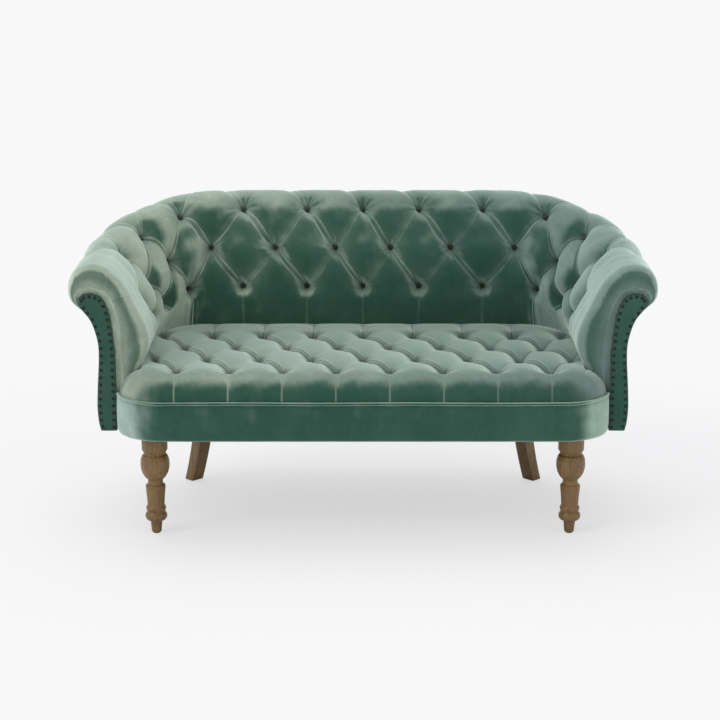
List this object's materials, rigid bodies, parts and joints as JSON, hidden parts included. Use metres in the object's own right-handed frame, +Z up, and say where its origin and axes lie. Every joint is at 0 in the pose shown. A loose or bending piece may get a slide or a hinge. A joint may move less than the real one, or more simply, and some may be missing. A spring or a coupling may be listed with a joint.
{
  "type": "buttoned two-seat couch",
  "caption": "Deep-buttoned velvet couch with a curved tub back flowing into scrolled arms, nailed facings, turned front legs and sabre rear legs.",
  "frame": {"origin": "centre of the footprint's bounding box, on the floor under the four glides", "axes": "+X along the width, to the right seen from the front, +Y from the seat front to the back, +Z up"},
  "size_m": [1.52, 0.781, 0.7969],
  "materials": {
    "velvet": "short-pile velvet, green with a pale sheen",
    "leg_wood": "brown oak, satin",
    "frame_wood": "unfinished beech",
    "aged_brass": "dark antique brass nail heads",
    "steel": "zinc-plated",
    "glide_plastic": "dark plastic",
    "webbing": "woven jute",
    "hessian": "plain hessian",
    "black_cloth": "black bottoming cloth"
  },
  "bodies": {
    "root": {"front_rail": "frame_wood", "front_corner_left": "frame_wood", "front_corner_right": "frame_wood", "side_rail_left": "frame_wood", "side_rail_right": "frame_wood", "rear_corner_left": "frame_wood", "rear_corner_right": "frame_wood", "back_rail": "frame_wood", "seat_stretcher_left": "frame_wood", "seat_stretcher_right": "frame_wood", "rear_block_left": "frame_wood", "rear_block_right": "frame_wood", "rail_dowels": "frame_wood", "front_leg_left": "leg_wood", "front_leg_right": "leg_wood", "rear_leg_left": "leg_wood", "rear_leg_right": "leg_wood", "leg_bolts": "steel", "leg_glides": "glide_plastic", "base_back": "frame_wood", "base_corner_left": "frame_wood", "base_corner_right": "frame_wood", "base_arm_left": "frame_wood", "base_arm_right": "frame_wood", "arm_stump_left": "frame_wood", "arm_stump_right": "frame_wood", "back_rib_left": "frame_wood", "back_rib_right": "frame_wood", "back_post_left": "frame_wood", "back_post_right": "frame_wood", "corner_rib_left": "frame_wood", "corner_rib_right": "frame_wood", "side_post_left": "frame_wood", "side_post_right": "frame_wood", "top_rail_back": "frame_wood", "top_rail_corner_left": "frame_wood", "top_rail_corner_right": "frame_wood", "top_rail_arm_left": "frame_wood", "top_rail_arm_right": "frame_wood", "tub_screws": "steel", "webbing_long": "webbing", "webbing_cross": "webbing", "seat_hessian": "hessian", "tub_hessian": "hessian", "seat_pad": "velvet", "seat_buttons": "velvet", "back_pad": "velvet", "back_buttons": "velvet", "arm_pad_left": "velvet", "arm_pad_right": "velvet", "arm_buttons": "velvet", "seat_border": "velvet", "seat_piping": "velvet", "outside_back": "velvet", "outside_arm_left": "velvet", "outside_arm_right": "velvet", "facing_left": "velvet", "facing_right": "velvet", "facing_nails": "aged_brass", "dust_cover": "black_cloth"}
  },
  "joints": []
}
